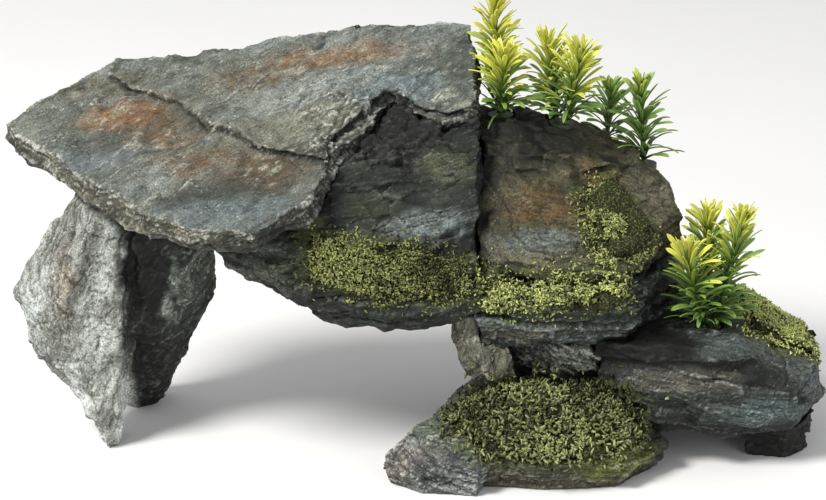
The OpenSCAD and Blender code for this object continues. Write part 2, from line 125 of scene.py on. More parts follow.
def cells(points, size, seed):
    """For each point: the way from the nearest of scattered centres, the distances to the two
    nearest in cell sizes, and that centre's own three random numbers."""
    p = points / size
    base = np.floor(p).astype(np.int64)
    best, second = np.full(len(p), 9.0), np.full(len(p), 9.0)
    away, pick = np.zeros_like(p), np.zeros_like(p)
    for dx in (-1, 0, 1):
        for dy in (-1, 0, 1):
            for dz in (-1, 0, 1):
                c = base + (dx, dy, dz)
                r = np.stack([hashed(c[:, 0], c[:, 1], c[:, 2], seed + s) for s in range(3)], 1)
                gap = p - (c + 0.5 + 0.45 * r)
                far = np.linalg.norm(gap, axis=1)
                near = far < best
                second = np.where(near, best, np.minimum(second, far))
                best = np.where(near, far, best)
                away[near] = gap[near]
                pick[near] = r[near]
    return away * size, best, second, pick


# ---------------------------------------------------------------- meshes

def new_piece(name, points, faces, material, smooth_faces=True):
    """A mesh object from arrays. Faces are rows of equal length, or a list of rows."""
    mesh = bpy.data.meshes.new(name)
    mesh.from_pydata(points.tolist(), [], faces if isinstance(faces, list) else faces.tolist())
    mesh.polygons.foreach_set("use_smooth", [smooth_faces] * len(mesh.polygons))
    mesh.materials.append(material)
    piece = bpy.data.objects.new(name, mesh)
    bpy.context.scene.collection.objects.link(piece)
    return piece


def colour(piece, rows):
    """Stores a colour for each vertex."""
    layer = piece.data.attributes.new("paint", "FLOAT_COLOR", "POINT")
    rgba = np.ones((len(rows), 4), np.float32)
    rgba[:, :3] = np.clip(rows, 0, 1)
    layer.data.foreach_set("color", rgba.ravel())


def read(mesh):
    """A mesh's vertices, vertex normals and edges as arrays."""
    points = np.empty(len(mesh.vertices) * 3, np.float32)
    mesh.vertices.foreach_get("co", points)
    normals = np.empty(len(mesh.vertices) * 3, np.float32)
    mesh.vertices.foreach_get("normal", normals)
    edges = np.empty(len(mesh.edges) * 2, np.int32)
    mesh.edges.foreach_get("vertices", edges)
    return (points.reshape(-1, 3).astype(float), normals.reshape(-1, 3).astype(float),
            edges.reshape(-1, 2))


def averaged(values, edges, times):
    """Values smoothed over the mesh by averaging with their neighbours."""
    n = len(values)
    count = np.bincount(edges.ravel(), minlength=n).astype(float)
    shape = (slice(None), None) if values.ndim == 2 else slice(None)
    for _ in range(times):
        total = np.zeros_like(values)
        columns = range(values.shape[1]) if values.ndim == 2 else [None]
        for k in columns:
            v = values if k is None else values[:, k]
            s = (np.bincount(edges[:, 0], v[edges[:, 1]], n)
                 + np.bincount(edges[:, 1], v[edges[:, 0]], n))
            if k is None:
                total = s
            else:
                total[:, k] = s
        values = 0.5 * values + 0.5 * total / np.maximum(count, 1)[shape]
    return values


def remeshed(node, voxel):
    """A new mesh of a CAD node, in even small faces."""
    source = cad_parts[node]
    copy = bpy.data.objects.new("work", source.data.copy())
    bpy.context.scene.collection.objects.link(copy)
    step = copy.modifiers.new("even", "REMESH")
    step.mode = "VOXEL"
    step.voxel_size = voxel
    bpy.context.view_layer.update()
    mesh = bpy.data.meshes.new_from_object(
        copy.evaluated_get(bpy.context.evaluated_depsgraph_get()))
    mesh.materials.clear()
    bpy.data.objects.remove(copy)
    return mesh


def tree_of(names):
    """One search tree over several CAD nodes."""
    points, faces = [], []
    for name in names:
        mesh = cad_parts[name].data
        first = len(points)
        points += [v.co.copy() for v in mesh.vertices]
        faces += [[first + i for i in p.vertices] for p in mesh.polygons]
    return BVHTree.FromPolygons(points, faces)


def at(node, x, y, z):
    """The point at those shares of a CAD node's box."""
    low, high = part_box(node)
    return np.array([low[i] + (high[i] - low[i]) * s for i, s in enumerate((x, y, z))])


# ---------------------------------------------------------------- materials

class Nodes:
    """A short way to write a node tree."""

    def __init__(self, name):
        self.material = bpy.data.materials.new(name)
        self.material.use_nodes = True
        self.tree = self.material.node_tree
        self.shader = self.tree.nodes["Principled BSDF"]
        self.place = self.add("ShaderNodeTexCoord").outputs["Object"]

    def add(self, kind, **settings):
        made = self.tree.nodes.new(kind)
        for key, value in settings.items():
            setattr(made, key, value)
        return made

    def link(self, source, target):
        if isinstance(source, (int, float)):
            target.default_value = source
        elif isinstance(source, (tuple, list, np.ndarray)):
            target.default_value = tuple(source)
        else:
            self.tree.links.new(source, target)

    def maths(self, operation, a, b=0.0, clamp=False):
        made = self.add("ShaderNodeMath", operation=operation, use_clamp=clamp)
        self.link(a, made.inputs[0])
        self.link(b, made.inputs[1])
        return made.outputs[0]

    def stretched(self, sizes, along=(1, 0, 0), up=(0, 0, 1)):
        """Coordinates along three square directions, divided by a size for each."""
        up = unit(up)
        along = unit(np.array(along) - np.dot(along, up) * up)
        joined = self.add("ShaderNodeCombineXYZ")
        for i, (direction, size) in enumerate(zip((along, np.cross(up, along), up), sizes)):
            dot = self.add("ShaderNodeVectorMath", operation="DOT_PRODUCT")
            self.link(self.place, dot.inputs[0])
            dot.inputs[1].default_value = tuple(direction / size)
            self.link(dot.outputs["Value"], joined.inputs[i])
        return joined.outputs[0]

    def noise(self, scale, detail=3.0, rough=0.6, where=None):
        made = self.add("ShaderNodeTexNoise")
        self.link(self.place if where is None else where, made.inputs["Vector"])
        made.inputs["Scale"].default_value = scale
        made.inputs["Detail"].default_value = detail
        made.inputs["Roughness"].default_value = rough
        return made.outputs["Fac"]

    def ramp(self, value, low, high, to_low=0.0, to_high=1.0):
        made = self.add("ShaderNodeMapRange", clamp=True)
        for name, v in (("Value", value), ("From Min", low), ("From Max", high),
                        ("To Min", to_low), ("To Max", to_high)):
            self.link(v, made.inputs[name])
        return made.outputs["Result"]

    def blend(self, share, a, b, kind="MIX"):
        made = self.add("ShaderNodeMix", data_type="RGBA", blend_type=kind, clamp_result=True)
        self.link(share, made.inputs[0])
        for socket, v in ((6, a), (7, b)):
            self.link((*v, 1.0) if isinstance(v, (tuple, list, np.ndarray)) else v,
                      made.inputs[socket])
        return made.outputs[2]

    def paint(self):
        return self.add("ShaderNodeAttribute", attribute_name="paint").outputs["Color"]

    def bump(self, height, distance, strength=1.0, below=None):
        made = self.add("ShaderNodeBump")
        made.inputs["Strength"].default_value = strength
        made.inputs["Distance"].default_value = distance
        self.link(height, made.inputs["Height"])
        if below is not None:
            self.link(below, made.inputs["Normal"])
        return made.outputs["Normal"]

    def finish(self, base, roughness, normal, specular=0.35):
        self.link(base, self.shader.inputs["Base Color"])
        self.link(roughness, self.shader.inputs["Roughness"])
        self.link(normal, self.shader.inputs["Normal"])
        self.shader.inputs["Specular IOR Level"].default_value = specular
        return self.material


def stone_material(name, along, up, streak, fleck, relief, dark_lines=1.0, gloss=0.55):
    """Painted resin rock: the painted vertex colour, with fine streaks along the bedding, light
    dry-brushed flecks, dark pits, and a fine bump of grain and cleavage lines."""
    n = Nodes(name)
    lines = n.noise(1.0, 5.0, 0.7, n.stretched((9 * MM, 1.6 * MM, 0.7 * MM), along, up))
    grain = n.noise(1100, 4.0, 0.7)
    patches = n.noise(160, 3.0, 0.6)
    base = n.blend(n.ramp(lines, 0.35, 0.65, 0, streak), n.paint(),
                   n.blend(1.0, n.paint(), (1.7, 1.7, 1.65), "MULTIPLY"))
    base = n.blend(n.ramp(lines, 0.5, 0.34, 0, dark_lines), base, (0.012, 0.013, 0.011))
    flecks = n.maths("MULTIPLY", n.ramp(grain, 0.56, 0.68), n.ramp(patches, 0.4, 0.62, 0.25, 1))
    base = n.blend(n.maths("MULTIPLY", flecks, fleck), base,
                   n.blend(1.0, base, (3.0, 3.0, 2.8), "MULTIPLY"))
    pits = n.maths("MULTIPLY", n.ramp(n.noise(1300, 3.0, 0.65), 0.47, 0.36, 0, 0.8),
                   n.ramp(n.noise(110, 4.0, 0.7), 0.44, 0.62, 0.2 * dark_lines, 1))
    base = n.blend(pits, base, (0.01, 0.011, 0.01))
    grit = n.noise(1500, 3.0, 0.75)
    base = n.blend(1.0, base, n.ramp(grit, 0.34, 0.50, 0.38, 1.0), "MULTIPLY")
    base = n.blend(n.ramp(grit, 0.56, 0.70, 0, 0.7), base,
                   n.blend(1.0, base, (2.6, 2.6, 2.4), "MULTIPLY"))
    rough = n.ramp(n.noise(350, 3.0, 0.6), 0.3, 0.7, gloss - 0.1, gloss + 0.2)
    fine = n.bump(grain, relief * MM, 0.8, n.bump(grit, 0.5 * relief * MM, 0.6))
    return n.finish(base, rough, n.bump(lines, relief * 1.6 * MM, 0.8, fine))


def moss_material():
    """Flocked moss: the colour of each curl with fine dusty variation."""
    n = Nodes("moss_flock")
    dust = n.noise(1500, 3.0, 0.7)
    base = n.blend(n.ramp(dust, 0.52, 0.72, 0, 0.5), n.paint(), (0.50, 0.48, 0.18))
    base = n.blend(n.ramp(dust, 0.46, 0.30, 0, 0.6), base, (0.02, 0.03, 0.008))
    return n.finish(base, n.ramp(n.noise(500), 0.3, 0.7, 0.7, 0.95),
                    n.bump(n.noise(2500, 4.0, 0.7), 0.15 * MM, 0.8), 0.2)


def leaf_material():
    """Moulded soft plastic leaves: painted colour, faint veins and a satin shine."""
    n = Nodes("leaf_plastic")
    mottle = n.noise(420, 3.0, 0.6)
    base = n.blend(n.ramp(mottle, 0.35, 0.65, 0.0, 0.35), n.paint(),
                   n.blend(1.0, n.paint(), (0.55, 0.62, 0.45), "MULTIPLY"))
    material = n.finish(base, n.ramp(n.noise(700), 0.3, 0.7, 0.32, 0.5),
                        n.bump(n.noise(1800, 2.0), 0.05 * MM, 0.5), 0.5)
    n.shader.inputs["Subsurface Weight"].default_value = 0.12
    n.shader.inputs["Subsurface Radius"].default_value = (0.4 * MM, 0.8 * MM, 0.2 * MM)
    n.shader.inputs["Subsurface Scale"].default_value = 1.0
    return material


def stem_material(name, tint):
    """Stems and plugs: mottled green plastic, darker in fine grooves along the stem."""
    n = Nodes(name)
    grooves = n.noise(1.0, 3.0, 0.6, n.stretched((0.5 * MM, 0.5 * MM, 5 * MM)))
    base = n.blend(n.ramp(grooves, 0.4, 0.65, 0, 0.7), tint, np.array(tint) * 0.35)
    base = n.blend(n.ramp(n.noise(300), 0.5, 0.7, 0, 0.5), base, np.array(tint) * 1.8)
    return n.finish(base, n.ramp(n.noise(600), 0.3, 0.7, 0.4, 0.6),
                    n.bump(grooves, 0.15 * MM, 0.7), 0.5)


# ---------------------------------------------------------------- rocks

RUST = srgb(132, 90, 48)
BROWN = srgb(88, 72, 46)
TEAL = srgb(84, 104, 104)
PALE = srgb(206, 208, 198)
# near-black for dark joints and for painted shade
JOINT_AND_SHADE_BLACK = srgb(16, 17, 17)
MOSS_STAIN = srgb(86, 94, 52)

PLANTS = "abcde"
SEATS = [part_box(f"plug_{p}") for p in PLANTS]
SEAT_MARGIN = 1.6 * MM
COLLAR = 2 * MM
ROCKS = ["roof_slab", "left_leg", "bridge_block", "shoulder_boulder", "shoulder_ledge",
         "pillar_rock", "pillar_flake", "base_rock", "toe_rock", "right_slab", "right_foot"]
MOSSES = ["moss_bridge", "moss_ledge", "moss_ridge", "moss_base", "moss_slope"]
everything = tree_of(ROCKS + MOSSES)
moss_pads = tree_of(MOSSES)


def near_seats(points):
    """0 on a plant's seat and in its socket, and 1 away from them."""
    free = np.ones(len(points))
    for low, high in SEATS:
        middle, radius = (low + high) / 2, (high[0] - low[0]) / 2
        level = high[2] - COLLAR
        across = np.hypot(points[:, 0] - middle[0], points[:, 1] - middle[1])
        side = smooth(radius + SEAT_MARGIN, radius + 2.5 * SEAT_MARGIN, across)
        depth = np.maximum(smooth(level + 1 * MM, level + 3 * MM, points[:, 2]),
                           smooth(low[2] - 2 * MM, low[2] - 4 * MM, points[:, 2]))
        free = np.minimum(free, np.maximum(side, depth))
    return free


def openness(points, normals, edges, reach=26 * MM, rays=7):
    """How much sky each point sees within reach, from 0 in a deep recess to 1 in the open."""
    rng = np.random.default_rng(5)
    dirs = rng.normal(size=(rays, 3))
    dirs /= np.linalg.norm(dirs, axis=1)[:, None]
    sample = np.arange(0, len(points), 3)
    share = np.ones(len(points))
    seen = []
    for i in sample:
        normal = normals[i]
        start = Vector(points[i] + normal * 2.2 * MM)
        free = 0
        for d in dirs:
            way = normal * 1.05 + d
            if everything.ray_cast(start, Vector(way), reach)[0] is None:
                free += 1
        seen.append(free / rays)
    share[:] = np.mean(seen)
    share[sample] = seen
    known = np.zeros(len(points))
    known[sample] = 1
    total = averaged(share * known, edges, 8)
    weight = averaged(known, edges, 8)
    return np.clip(total / np.maximum(weight, 1e-4), 0, 1)


def beds(height, lateral, thickness, seed):
    """A row of rock beds of uneven thickness: how far each stands out, from -1 to 1, and the
    dark joint between neighbours, from 0 to 1."""
    warped = height / thickness
    row = np.floor(warped).astype(np.int64)
    f = warped - row
    part = np.floor(lateral).astype(np.int64)
    out = hashed(row, part, part * 0, seed)
    thin = hashed(row, part * 0, part * 0, seed + 3) * 0.5 + 0.5
    joint = smooth(0.16, 0.0, np.minimum(f, 1 - f)) * (thin > 0.45)
    return out, joint


def rubble(points):
    """Where the broken, chipped rock shows under the roof's notch: 1 in its middle, 0 outside."""
    away = (points - at("bridge_block", 0.62, 0.25, 0.9)) / (np.array((34, 40, 15)) * MM)
    return smooth(1.1, 0.6, np.linalg.norm(away, axis=1) + 0.3 * noise(points, 9 * MM, 601))


def stained(rows, points, normals, seed):
    """Old moss colour on the rock round the moss pads, ragged and fading out."""
    far = np.array([moss_pads.find_nearest(Vector(p), 14 * MM)[3] or 14 * MM for p in points])
    far = far / MM + 7 * layered(points, 8 * MM, seed + 31, 4, 0.7)
    share = smooth(6.5, 0.5, far) * smooth(-0.5, 0.1, normals[:, 2])
    grain = 0.55 + 0.9 * layered(points, 1.6 * MM, seed + 37, 2)
    return mix(rows, MOSS_STAIN, np.clip(share * grain, 0, 0.85))


DEEPEST, HIGHEST = -3.0, 1.5  # how far in mm the relief goes into and out of the CAD face
FACET, CHIP = 7 * MM, 3.4 * MM


def rock(node, voxel, up, along, bed, ledge, plate, chip, grain, wobble, paint, material, seed):
    """One rock in place of its CAD node. up is the bedding's normal and along its streaks;
    bed, ledge, plate, chip and grain are sizes in mm of the beds, how far they stand out, the
    broken plates on flat faces, the chipped facets and the fine grain."""
    mesh = remeshed(node, voxel)
    points, normals, edges = read(mesh)
    up = unit(up)
    along = unit(np.array(along) - np.dot(along, up) * up)
    across = np.cross(up, along)
    free = near_seats(points) * smooth(0.3 * MM, 3 * MM, points[:, 2])
    # the whole shape wavers a little, so that no straight edge of the CAD solid is left
    for size, reach in ((16 * MM, 1.1 * MM), (6 * MM, 0.5 * MM)):
        for axis in range(3):
            points[:, axis] += (free * reach * wobble
                                * noise(points, size, seed + 40 + axis + int(size * 1e4)))
    local = np.stack([points @ along, points @ across, points @ up], 1)
    flat = np.abs(normals @ up)
    side = np.sqrt(np.clip(1 - flat ** 2, 0, 1))
    lift = layered(local * (1, 1, 0.3), 34 * MM, seed, 3) * 3.4 * MM
    lift += noise(local, 5 * MM, seed + 9) * 0.35 * MM
    lateral = local[:, 0] / (48 * MM) + 0.9 * noise(local, 16 * MM, seed + 11)
    out, joint = beds(local[:, 2] + lift, lateral, bed * MM, seed)
    thin_out, thin_joint = beds(local[:, 2] + lift * 1.3, lateral * 2.1, bed * 0.37 * MM, seed + 5)
    push = side * (ledge * (0.75 * out - 0.9 * joint) + ledge * 0.45 * (thin_out - thin_joint))
    level = layered(local * (0.55, 1, 1), 26 * MM, seed + 20, 5, 0.55) * 5
    push += flat * plate * (np.floor(level) * 0.4 + smooth(0.75, 1.0, level % 1) * 0.4)
    away, first, second, pick = cells(local * (0.6, 1, 1.3), FACET, seed + 30)
    facet = np.sum(away * pick, axis=1) / FACET
    crack = smooth(0.14, 0.0, second - first)
    broken = rubble(points)
    push += chip * (facet * 1.6 - 0.5 * crack) * (1 + 2.2 * broken)
    some = broken > 0.01
    if some.any():
        small, close, next_one, turn = cells(local[some] * (0.7, 1, 1.2), CHIP, seed + 33)
        slope = np.sum(small * turn, axis=1) / CHIP
        push[some] += broken[some] * (1.5 * slope - 0.5 * smooth(0.16, 0.0, next_one - close))
    push += grain * (layered(local * (0.5, 1, 1), 3.2 * MM, seed + 60, 3, 0.7) * 1.7)
    push = np.clip(push, DEEPEST, HIGHEST)
    points += normals * (push * free)[:, None] * MM
    points[:, 2] = np.maximum(points[:, 2], 0)
    mesh.vertices.foreach_set("co", points.astype(np.float32).ravel())
    mesh.update()
    mesh.polygons.foreach_set("use_smooth", [True] * len(mesh.polygons))
    mesh.materials.append(material)
    piece = bpy.data.objects.new(f"{node}_rock", mesh)
    bpy.context.scene.collection.objects.link(piece)

    points, normals, edges = read(mesh)
    bent = np.sum((averaged(points, edges, 1) - points) * normals, axis=1) / voxel
    wide = np.sum((averaged(points, edges, 9) - points) * normals, axis=1) / voxel
    relief = {
        "ridge": smooth(0.03, 0.16, -bent),
        "hollow": smooth(0.03, 0.14, bent),
        "edge": smooth(0.15, 0.9, -wide),
        "dip": smooth(0.1, 0.7, wide),
        "open": openness(points, normals, edges),
        "joint": np.maximum(joint, thin_joint * 0.6) * side,
    }
    rows = stained(paint(node, points, normals, local, relief, seed), points, normals, seed)
    colour(piece, rows)
    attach(piece, ROCK_BODY)
    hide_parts(node)
    return piece


def base_coat(local, seed, tones, size=20, streak=0.3):
    """The first coats: dark, middle and light tones that follow streaks along the bedding."""
    dark, middle, light = tones
    share = layered(local * (streak, 1, 1), size * MM, seed + 70, 5, 0.6)
    rows = mix(np.tile(middle, (len(local), 1)), light, smooth(0.0, 0.4, share))
    rows = mix(rows, dark, smooth(0.0, -0.35, share))
    fine = layered(local * (streak, 1, 1), 5 * MM, seed + 77, 4, 0.7)
    return rows * (1 + 0.75 * fine)[:, None]


def patch(rows, points, centre, reach, tint, strength, seed, ragged=0.45):
    """A soft ragged patch of another colour round a point; reach is in mm along X, Y and Z."""
    away = (points - centre) / (np.array(reach) * MM)
    far = np.linalg.norm(away, axis=1) + ragged * layered(points, 9 * MM, seed, 4, 0.6)
    mottle = 0.75 + 0.5 * layered(points, 2.5 * MM, seed + 5, 2)
    return mix(rows, tint, np.clip(smooth(1.1, 0.35, far) * strength * mottle, 0, 1))


def patched(rows, node, points, seed, spots, by=0):
    """Patches at shares of the node's box. The share along the axis named by sets each one's
    own raggedness."""
    for spot in spots:
        rows = patch(rows, points, at(node, *spot[:3]), *spot[3:], seed + int(spot[by] * 90))
    return rows


def washed_shaded_and_brushed(rows, points, normals, relief, seed, highlight=0.55, wash_and_shade=0.85, tint=PALE):
    """The last coats: dark paint in joints; in hollows and dips dark paint that is partly painted
    shade; painted shade in deep recesses and on faces that look down; and light colour
    dry-brushed over ridges and the edges of beds, stronger where more sky is seen, which makes it
    partly a painted highlight."""
    speck = layered(points, 2.2 * MM, seed + 90, 3, 0.7)
    dark = np.maximum(relief["hollow"] * 0.7, relief["joint"] * 0.75)
    dark = np.maximum(dark, relief["dip"] * 0.5) * wash_and_shade
    # dark paint in joints; in hollows and dips it is partly painted shade
    rows = mix(rows, JOINT_AND_SHADE_BLACK, dark)
    # painted shade in deep recesses, by how little sky each point sees
    rows = mix(rows, JOINT_AND_SHADE_BLACK, smooth(0.8, 0.25, relief["open"]) * 0.95 * wash_and_shade)
    # painted shade on faces that look down
    rows = rows * (1 - 0.45 * smooth(-0.1, -0.8, normals[:, 2]))[:, None]
    # dry-brushed light, stronger where more sky is seen: partly a painted highlight
    brush_and_highlight = np.maximum(relief["edge"] * 0.9, relief["ridge"] * 0.6)
    brush_and_highlight = brush_and_highlight * smooth(-0.35, 0.25, speck) * (0.35 + 0.65 * relief["open"])
    shade = 0.35 + 0.65 * smooth(0.0, 0.06, rows.mean(axis=1))
    return mix(rows, tint, np.clip(brush_and_highlight * highlight * shade, 0, 1))


def paint_roof(node, points, normals, local, relief, seed):
    rows = base_coat(local, seed, (srgb(66, 70, 62), srgb(98, 102, 94), srgb(124, 130, 126)), 22)
    top = smooth(0.35, 0.75, normals[:, 2])
    rows = patched(rows, node, points, seed, (
        (0.70, 0.79, 0.85, (34, 8, 30), RUST, 0.9),
        (0.54, 0.72, 0.75, (22, 7, 20), BROWN, 0.9),
        (0.64, 0.80, 0.8, (40, 12, 30), srgb(98, 92, 74), 0.5),
        (0.28, 0.64, 0.56, (24, 10, 20), RUST, 0.8),
        (0.36, 0.52, 0.5, (20, 9, 20), srgb(118, 88, 56), 0.6),
        (0.46, 0.36, 0.42, (30, 10, 20), srgb(98, 74, 46), 0.9),
        (0.60, 0.28, 0.38, (30, 9, 30), srgb(92, 78, 60), 0.8),
        (0.40, 0.60, 0.55, (18, 8, 20), srgb(60, 60, 44), 0.8),
        (0.52, 0.45, 0.55, (30, 11, 20), srgb(82, 80, 62), 0.8),
        (0.64, 0.47, 0.6, (28, 12, 20), srgb(132, 132, 114), 0.7),
        (0.50, 0.62, 0.65, (30, 9, 20), srgb(124, 126, 112), 0.6),
        (0.21, 0.78, 0.63, (24, 7, 20), srgb(78, 70, 48), 0.8),
        (0.5, 0.10, 0.25, (46, 9, 20), srgb(102, 114, 116), 0.8),
        (0.20, 0.42, 0.4, (22, 9, 20), srgb(110, 118, 122), 0.75),
        (0.10, 0.6, 0.45, (14, 10, 20), srgb(112, 114, 104), 0.6),
        (0.72, 0.36, 0.48, (9, 10, 20), srgb(70, 72, 60), 0.7),
        (0.84, 0.60, 0.75, (26, 12, 20), srgb(112, 126, 132), 0.8),
        (0.97, 0.7, 0.88, (10, 28, 24), srgb(70, 78, 72), 0.9)))
    mottle = layered(local * (0.6, 1, 1), 2.4 * MM, seed + 8, 3, 0.8)
    light = smooth(0.1, 0.5, mottle) * smooth(-0.1, 0.35, layered(points, 22 * MM, seed + 9, 4))
    rows = mix(rows, srgb(168, 170, 152), 0.6 * light)
    rows = mix(rows, srgb(44, 46, 38), 0.55 * smooth(-0.1, -0.5, mottle))
    rim = base_coat(local, seed + 2,
                    (srgb(40, 40, 32), srgb(74, 72, 60), srgb(112, 110, 94)), 8, 0.5)
    to_right = smooth(0.52, 0.62, (points[:, 0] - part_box(node)[0][0]) / (170 * MM))
    rim = rim * (1 - 0.75 * to_right * smooth(0.2, -0.2, normals[:, 1]))[:, None]
    rows = mix(rim, rows, top)
    return washed_shaded_and_brushed(rows * (0.9, 0.9, 0.92), points, normals, relief, seed, 0.85, 0.8)


def paint_leg(node, points, normals, local, relief, seed):
    low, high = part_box(node)
    across = (points[:, 0] - low[0]) / (high[0] - low[0])
    rows = base_coat(local, seed,
                     (srgb(108, 108, 100), srgb(150, 152, 144), srgb(196, 200, 193)), 9, 0.5)
    lowest = smooth(0.4, 0.1, (points[:, 2] - low[2]) / (high[2] - low[2]))
    rows = rows * (1.1, 1.12, 1.17) * (1 + 0.65 * lowest)[:, None]
    # the leg's right-hand side, turned away from the light, gets a near-black coat: painted shade
    shaded_side = base_coat(local, seed + 3, (srgb(14, 17, 15), srgb(36, 41, 35), srgb(84, 90, 80)), 12)
    rows = mix(rows, shaded_side, smooth(0.5, 0.56, across + 0.03 * layered(points, 12 * MM, seed)))
    rows = patched(rows, node, points, seed, (
        (0.26, 0.05, 0.58, (6, 9, 15), srgb(146, 124, 102), 0.6),
        (0.32, 0.1, 0.95, (20, 12, 13), srgb(56, 62, 46), 0.9),
        (0.42, 0.05, 0.1, (9, 9, 9), srgb(106, 106, 92), 0.5),
        (0.40, 0.05, 0.35, (10, 9, 16), srgb(200, 208, 200), 0.5),
        (0.47, 0.1, 0.62, (4, 12, 15), srgb(214, 218, 210), 0.8),
        # near-black patches in the leg's recess: painted shade
        (0.66, 0.2, 0.62, (14, 24, 34), srgb(4, 4, 4), 1.4),
        (0.64, 0.2, 0.25, (9, 24, 20), srgb(7, 7, 7), 1.2),
        (0.78, 0.2, 0.56, (2.4, 14, 10), srgb(140, 150, 140), 0.9),
        (0.74, 0.2, 0.44, (2.4, 14, 10), srgb(150, 160, 150), 0.9)), by=2)
    rows = washed_shaded_and_brushed(rows, points, normals, relief, seed, 0.6, 0.8, srgb(222, 226, 218))
    # painted shade in the leg's recess once more, over the dry-brushed light
    return patch(rows, points, at(node, 0.66, 0.2, 0.6), (9, 24, 30), JOINT_AND_SHADE_BLACK * 0.5, 0.8, seed)


def paint_bridge(node, points, normals, local, relief, seed):
    rows = base_coat(local, seed, (srgb(13, 16, 12), srgb(32, 37, 30), srgb(64, 71, 62)), 16, 0.2)
    rows = patched(rows, node, points, seed, (
        (0.90, 0.25, 0.73, (14, 14, 8), srgb(88, 92, 68), 0.85),
        (0.84, 0.14, 0.48, (18, 12, 6), srgb(116, 126, 126), 0.95),
        (0.62, 0.2, 0.56, (14, 12, 6), srgb(46, 58, 36), 0.8),
        # near-black patches high up under the roof: painted shade
        (0.62, 0.4, 0.88, (32, 26, 10), srgb(14, 16, 14), 0.95),
        (0.90, 0.4, 0.95, (16, 20, 6), srgb(20, 22, 18), 0.9),
        (0.40, 0.12, 0.50, (14, 16, 12), srgb(8, 9, 8), 0.95),
        (0.20, 0.2, 0.2, (30, 20, 7), srgb(100, 100, 90), 0.7),
        (0.5, 0.08, 0.27, (36, 12, 7), MOSS_STAIN, 0.5),
        (0.84, 0.08, 0.12, (20, 12, 6), srgb(58, 68, 62), 0.7)))
    # the broken rock under the roof's notch is darkened: painted shade
    rows = rows * (1 - 0.7 * rubble(points))[:, None]
    rows = washed_shaded_and_brushed(rows, points, normals, relief, seed, 0.55, 0.95, srgb(168, 176, 166))
    # painted shade under the roof once more, over the dry-brushed light
    return patch(rows, points, at(node, 0.62, 0.4, 0.88), (34, 26, 11), JOINT_AND_SHADE_BLACK * 0.6, 0.8, seed)


def paint_shoulder(node, points, normals, local, relief, seed):
    rows = base_coat(local, seed, (srgb(42, 41, 28), srgb(72, 68, 46), srgb(96, 92, 72)), 14, 0.2)
    rows = patched(rows, node, points, seed, (
        (0.40, 0.18, 0.50, (20, 12, 8), srgb(96, 70, 36), 0.8),
        (0.64, 0.27, 0.66, (13, 12, 9), srgb(102, 72, 34), 0.85),
        (0.34, 0.09, 0.27, (26, 10, 5), srgb(104, 113, 110), 0.95),
        (0.15, 0.1, 0.10, (10, 12, 6), srgb(104, 102, 102), 0.6),
        (0.84, 0.3, 0.48, (13, 18, 16), srgb(112, 107, 92), 0.8),
        # near-black patches at the top, under the plants and beside the roof's end: painted shade
        (0.25, 0.40, 0.90, (38, 30, 11), srgb(9, 10, 6), 1.3),
        (0.10, 0.30, 0.72, (16, 24, 12), srgb(16, 17, 11), 1.0),
        (0.50, 0.25, 0.66, (2.5, 14, 10), srgb(20, 20, 12), 0.9),
        (0.56, 0.2, 0.5, (2.5, 14, 7), srgb(20, 20, 12), 0.8),
        # a near-black strip along the left end, beside the bridge: painted shadow
        (0.02, 0.3, 0.8, (9, 24, 14), srgb(8, 8, 7), 1.0)))
    return washed_shaded_and_brushed(rows, points, normals, relief, seed, 0.45, 0.9, srgb(160, 156, 124))


def paint_ledge(node, points, normals, local, relief, seed):
    rows = base_coat(local, seed, (srgb(22, 26, 24), srgb(48, 53, 50), srgb(88, 97, 93)), 12, 0.12)
    rows = patched(rows, node, points, seed, (
        (0.75, 0.1, 0.6, (14, 12, 8), srgb(84, 88, 56), 0.7),
        (0.2, 0.06, 0.2, (16, 12, 5), srgb(112, 104, 88), 0.6),
        (0.05, 0.1, 0.6, (6, 10, 12), MOSS_STAIN, 0.7)))
    return washed_shaded_and_brushed(rows, points, normals, relief, seed, 0.75, 0.95, srgb(170, 180, 176))


def paint_pillar(node, points, normals, local, relief, seed):
    rows = base_coat(local, seed,
                     (srgb(72, 75, 71), srgb(124, 129, 122), srgb(178, 183, 176)), 9, 0.4)
    return washed_shaded_and_brushed(rows, points, normals, relief, seed, 0.85, 0.95, srgb(172, 172, 156))


def paint_flake(node, points, normals, local, relief, seed):
    rows = base_coat(local, seed,
                     (srgb(66, 64, 52), srgb(104, 102, 88), srgb(138, 135, 119)), 10, 0.5)
    rows = patch(rows, points, at(node, 0.3, 0.4, 0.05), (20, 20, 8), srgb(84, 86, 80), 0.8, seed)
    return washed_shaded_and_brushed(rows, points, normals, relief, seed, 0.7, 0.7)


def paint_base(node, points, normals, local, relief, seed):
    rows = base_coat(local, seed, (srgb(38, 40, 30), srgb(66, 67, 52), srgb(94, 93, 76)), 12, 0.4)
    rows = patched(rows, node, points, seed, (
        (0.45, 0.1, 0.0, (46, 60, 7), srgb(78, 66, 44), 0.85),
        (0.78, 0.08, 0.3, (22, 24, 8), srgb(128, 134, 56), 0.8),
        (0.5, 0.05, 0.35, (40, 24, 7), MOSS_STAIN * 0.8, 0.7),
        (0.1, 0.2, 0.7, (12, 20, 12), srgb(84, 92, 70), 0.7)))
    return washed_shaded_and_brushed(rows, points, normals, relief, seed, 0.5, 0.85)


def paint_toe(node, points, normals, local, relief, seed):
    rows = base_coat(local, seed, (srgb(58, 63, 63), srgb(88, 95, 97), srgb(128, 135, 137)), 9, 0.3)
    rows = patched(rows, node, points, seed, (
        (0.1, 0.3, 0.5, (10, 20, 12), srgb(118, 106, 98), 0.85),
        (0.45, 0.2, 0.75, (8, 14, 5), srgb(128, 104, 96), 0.4),
        (0.5, 0.5, 0.95, (18, 20, 5), srgb(96, 104, 84), 0.7)))
    return washed_shaded_and_brushed(rows, points, normals, relief, seed, 0.75, 0.85)


